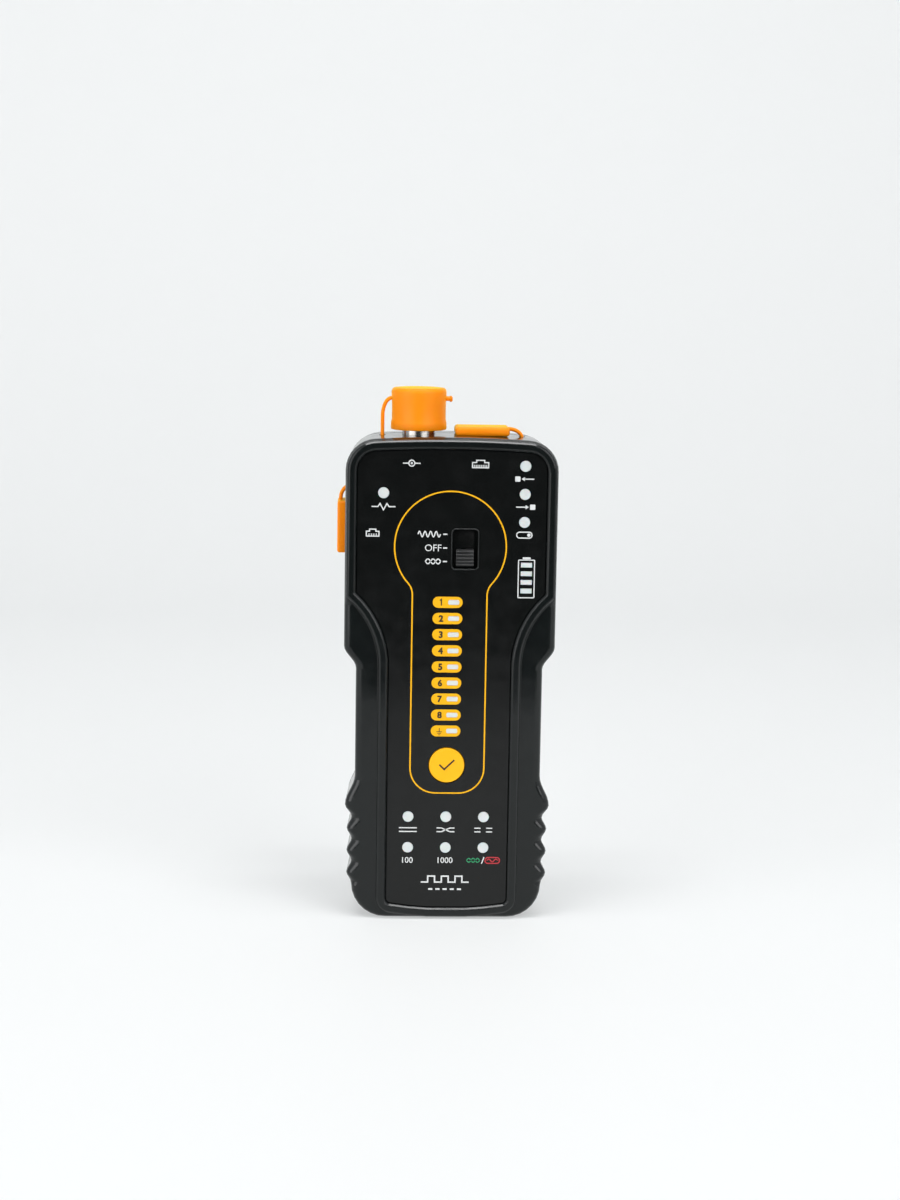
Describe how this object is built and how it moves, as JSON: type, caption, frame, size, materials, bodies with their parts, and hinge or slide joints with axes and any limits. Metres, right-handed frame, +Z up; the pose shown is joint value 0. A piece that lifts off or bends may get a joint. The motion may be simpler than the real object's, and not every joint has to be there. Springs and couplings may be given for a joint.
{
  "type": "network cable tester",
  "caption": "Hand-held cable tester with a slide switch, a set button, signal lights and three sockets under tethered dust caps.",
  "frame": {"origin": "middle of the flat base that it stands on", "axes": "+Z up along the housing, -Y out of the printed panel, +X to the right of the panel"},
  "size_m": [0.0633, 0.032, 0.1544],
  "materials": {
    "housing_plastic": "fine satin moulding",
    "panel_film": "satin printed film",
    "light_guide": "milky, diffusing",
    "circuit_board": "solder resist",
    "led_package": "moulded",
    "component_plastic": "moulded",
    "knob_plastic": "satin",
    "button_plastic": "satin print",
    "plated_metal": "nickel plated",
    "steel": "zinc plated",
    "gold_contact": "gold flashed",
    "white_insulator": "moulded",
    "cap_rubber": "soft satin moulding",
    "battery_case": "painted sleeve",
    "foam": "closed-cell foam"
  },
  "bodies": {
    "housing": {"front_shell": "housing_plastic", "rear_shell": "housing_plastic", "face_overlay": "panel_film", "round_windows": "light_guide", "number_windows": "light_guide", "battery_windows": "light_guide", "main_board": "circuit_board", "round_leds": "led_package", "number_leds": "led_package", "battery_leds": "led_package", "slide_switch": "component_plastic", "switch_terminals": "plated_metal", "tact_switch": "plated_metal", "bnc_barrel": "plated_metal", "bnc_block": "component_plastic", "bnc_insulator": "white_insulator", "bnc_contact": "gold_contact", "bnc_washer": "plated_metal", "bnc_nut": "plated_metal", "rj45_socket": "component_plastic", "rj45_contacts": "gold_contact", "rj11_socket": "component_plastic", "rj11_contacts": "gold_contact", "battery": "battery_case", "battery_terminals": "plated_metal", "battery_snap": "component_plastic", "controller_chip": "component_plastic", "driver_chips": "component_plastic", "crystal": "plated_metal", "capacitors": "plated_metal", "case_screws": "steel", "board_screws": "steel"},
    "knob": {"switch_knob": "knob_plastic", "switch_lever": "plated_metal"},
    "button": {"set_button": "button_plastic", "tact_plunger": "component_plastic"},
    "bnc_cover": {"bnc_cap": "cap_rubber", "bnc_strap": "cap_rubber"},
    "rj45_cover": {"rj45_plug": "cap_rubber", "rj45_strap": "cap_rubber"},
    "rj11_cover": {"rj11_plug": "cap_rubber", "rj11_strap": "cap_rubber"},
    "door": {"battery_door": "housing_plastic", "door_foam": "foam"}
  },
  "joints": [
    {"name": "knob_slide", "type": "slide", "parent": "housing", "child": "knob", "axis": [0, 0, 1], "range_m": [0, 0.0058]},
    {"name": "button_press", "type": "slide", "parent": "housing", "child": "button", "axis": [0, 1, 0], "range_m": [0, 0.0005], "stiffness_N_per_m": 400},
    {"name": "bnc_cap_pull", "type": "slide", "parent": "housing", "child": "bnc_cover", "axis": [0, 0, 1], "range_m": [0, 0.016], "deforming": ["bnc_strap"]},
    {"name": "rj45_plug_pull", "type": "slide", "parent": "housing", "child": "rj45_cover", "axis": [0, 0, 1], "range_m": [0, 0.012], "deforming": ["rj45_strap"]},
    {"name": "rj11_plug_pull", "type": "slide", "parent": "housing", "child": "rj11_cover", "axis": [-1, 0, 0], "range_m": [0, 0.011], "deforming": ["rj11_strap"]},
    {"name": "door_tilt", "type": "hinge", "parent": "housing", "child": "door", "pos_m": [0, 0.016, 0.006], "axis": [-1, 0, 0], "range_deg": [0, 50]}
  ]
}
